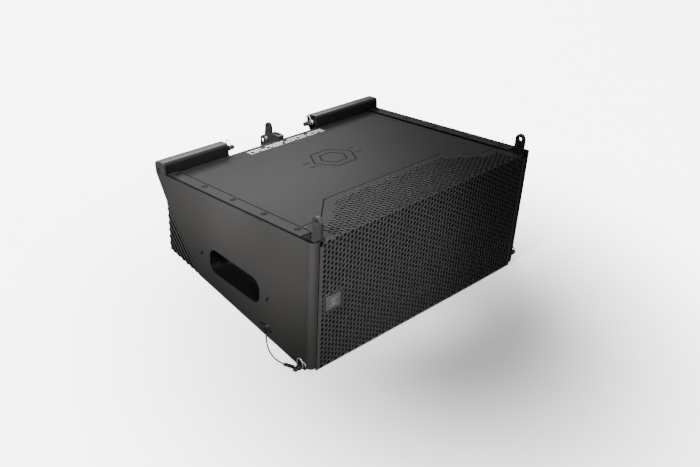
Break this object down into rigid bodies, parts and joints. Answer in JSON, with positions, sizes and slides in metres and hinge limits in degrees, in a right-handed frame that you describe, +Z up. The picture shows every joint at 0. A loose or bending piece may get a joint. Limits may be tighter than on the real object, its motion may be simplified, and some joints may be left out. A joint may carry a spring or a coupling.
{
  "type": "line array loudspeaker",
  "caption": "Wedge-shaped line array loudspeaker with perforated grille, recessed side handles, corner links, rear bars, locking pins and a wire lanyard.",
  "frame": {"origin": "bottom centre of the cabinet and its rigging, without the lanyard", "axes": "+X to the right of someone facing the grille, -Y out through the grille, +Z up"},
  "size_m": [0.6207, 0.5134, 0.2977],
  "materials": {
    "painted_ply": "fine textured charcoal paint on birch plywood",
    "textured_shell": "fine textured charcoal powder coat",
    "black_moulding": "satin moulded black plastic",
    "black_steel": "black coated steel",
    "pin_steel": "bright turned steel",
    "ferrule_metal": "blackened crimp ferrule",
    "magnet": "zinc plated",
    "cone_paper": "coated paper",
    "soft_rubber": "soft black",
    "foam": "open cell foam",
    "circuit_board": "lacquered board",
    "copper_winding": "enamelled copper wire"
  },
  "bodies": {
    "cabinet": {"baffle": "painted_ply", "bottom_panel": "painted_ply", "bottom_runner_left": "black_moulding", "bottom_runner_right": "black_moulding", "compression_driver": "magnet", "crossover_board": "circuit_board", "crossover_coil": "copper_winding", "front_badge": "black_moulding", "front_channel_left": "textured_shell", "front_channel_right": "textured_shell", "grille": "textured_shell", "grille_foam": "foam", "handle_cup_left": "black_moulding", "handle_cup_right": "black_moulding", "input_plate": "black_steel", "lanyard": "soft_rubber", "lanyard_tab": "black_steel", "left_woofer_basket": "black_steel", "left_woofer_magnet": "magnet", "left_woofer_surround": "soft_rubber", "rear_bar_bolt_left": "black_steel", "rear_bar_bolt_right": "black_steel", "rear_bar_left": "black_moulding", "rear_bar_right": "black_moulding", "rear_bracket": "black_steel", "rear_link_pivot": "pin_steel", "rear_panel": "painted_ply", "right_woofer_basket": "black_steel", "right_woofer_magnet": "magnet", "right_woofer_surround": "soft_rubber", "side_cover_left": "textured_shell", "side_cover_right": "textured_shell", "side_wall_left": "painted_ply", "side_wall_right": "painted_ply", "speaker_socket_in": "black_moulding", "speaker_socket_link": "black_moulding", "top_panel": "painted_ply", "top_rail_left": "textured_shell", "top_rail_right": "textured_shell", "waveguide": "black_moulding", "window_brace": "painted_ply"},
    "front_link_left": {"front_link_left": "black_steel"},
    "front_link_right": {"front_link_right": "black_steel"},
    "rear_link": {"rear_link": "black_steel"},
    "left_woofer_cone": {"left_woofer_cone": "cone_paper"},
    "right_woofer_cone": {"right_woofer_cone": "cone_paper"},
    "front_pin_left": {"front_pin_left": "pin_steel", "lanyard_ferrule": "ferrule_metal", "lanyard_eye": "soft_rubber"},
    "front_pin_left_bail": {"front_pin_left_bail": "pin_steel"},
    "front_pin_left_button": {"front_pin_left_button": "black_moulding"},
    "front_pin_right": {"front_pin_right": "pin_steel"},
    "front_pin_right_bail": {"front_pin_right_bail": "pin_steel"},
    "front_pin_right_button": {"front_pin_right_button": "black_moulding"},
    "rear_pin_left": {"rear_pin_left": "pin_steel"},
    "rear_pin_left_bail": {"rear_pin_left_bail": "pin_steel"},
    "rear_pin_left_button": {"rear_pin_left_button": "black_moulding"},
    "rear_pin_right": {"rear_pin_right": "pin_steel"},
    "rear_pin_right_bail": {"rear_pin_right_bail": "pin_steel"},
    "rear_pin_right_button": {"rear_pin_right_button": "black_moulding"}
  },
  "joints": [
    {"name": "front_link_left_lift", "type": "slide", "parent": "cabinet", "child": "front_link_left", "axis": [0, 0.1132, 0.9936], "range_m": [-0.036, 0]},
    {"name": "front_link_right_lift", "type": "slide", "parent": "cabinet", "child": "front_link_right", "axis": [0, 0.1132, 0.9936], "range_m": [-0.036, 0]},
    {"name": "front_pin_left_pull", "type": "slide", "parent": "cabinet", "child": "front_pin_left", "axis": [-1, 0, 0], "range_m": [0, 0.03]},
    {"name": "front_pin_left_bail_swing", "type": "hinge", "parent": "front_pin_left", "child": "front_pin_left_bail", "pos_m": [-0.296, -0.24083, 0.01306], "axis": [0, 0.9936, -0.1132], "range_deg": [-95, 20]},
    {"name": "front_pin_left_button_press", "type": "slide", "parent": "front_pin_left", "child": "front_pin_left_button", "axis": [1, 0, 0], "range_m": [0, 0.002], "stiffness_N_per_m": 500, "springref_m": -0.002},
    {"name": "front_pin_right_pull", "type": "slide", "parent": "cabinet", "child": "front_pin_right", "axis": [1, 0, 0], "range_m": [0, 0.03]},
    {"name": "front_pin_right_bail_swing", "type": "hinge", "parent": "front_pin_right", "child": "front_pin_right_bail", "pos_m": [0.296, -0.24083, 0.01306], "axis": [0, 0.9936, -0.1132], "range_deg": [-20, 95]},
    {"name": "front_pin_right_button_press", "type": "slide", "parent": "front_pin_right", "child": "front_pin_right_button", "axis": [-1, 0, 0], "range_m": [0, 0.002], "stiffness_N_per_m": 500, "springref_m": -0.002},
    {"name": "rear_pin_left_pull", "type": "slide", "parent": "cabinet", "child": "rear_pin_left", "axis": [1, 0, 0], "range_m": [0, 0.03]},
    {"name": "rear_pin_left_bail_swing", "type": "hinge", "parent": "rear_pin_left", "child": "rear_pin_left_bail", "pos_m": [-0.124, 0.21415, 0.16793], "axis": [0, 0.9936, -0.1132], "range_deg": [-20, 95]},
    {"name": "rear_pin_left_button_press", "type": "slide", "parent": "rear_pin_left", "child": "rear_pin_left_button", "axis": [-1, 0, 0], "range_m": [0, 0.002], "stiffness_N_per_m": 500, "springref_m": -0.002},
    {"name": "rear_pin_right_pull", "type": "slide", "parent": "cabinet", "child": "rear_pin_right", "axis": [-1, 0, 0], "range_m": [0, 0.03]},
    {"name": "rear_pin_right_bail_swing", "type": "hinge", "parent": "rear_pin_right", "child": "rear_pin_right_bail", "pos_m": [0.09, 0.21415, 0.16793], "axis": [0, 0.9936, -0.1132], "range_deg": [-95, 20]},
    {"name": "rear_pin_right_button_press", "type": "slide", "parent": "rear_pin_right", "child": "rear_pin_right_button", "axis": [1, 0, 0], "range_m": [0, 0.002], "stiffness_N_per_m": 500, "springref_m": -0.002},
    {"name": "rear_link_swing", "type": "hinge", "parent": "cabinet", "child": "rear_link", "pos_m": [0, 0.23723, 0.14801], "axis": [1, 0, 0], "range_deg": [-165, 15]},
    {"name": "left_woofer_cone_travel", "type": "slide", "parent": "cabinet", "child": "left_woofer_cone", "axis": [0, -0.9936, 0.1132], "range_m": [-0.004, 0.004], "stiffness_N_per_m": 2500},
    {"name": "right_woofer_cone_travel", "type": "slide", "parent": "cabinet", "child": "right_woofer_cone", "axis": [0, -0.9936, 0.1132], "range_m": [-0.004, 0.004], "stiffness_N_per_m": 2500}
  ]
}
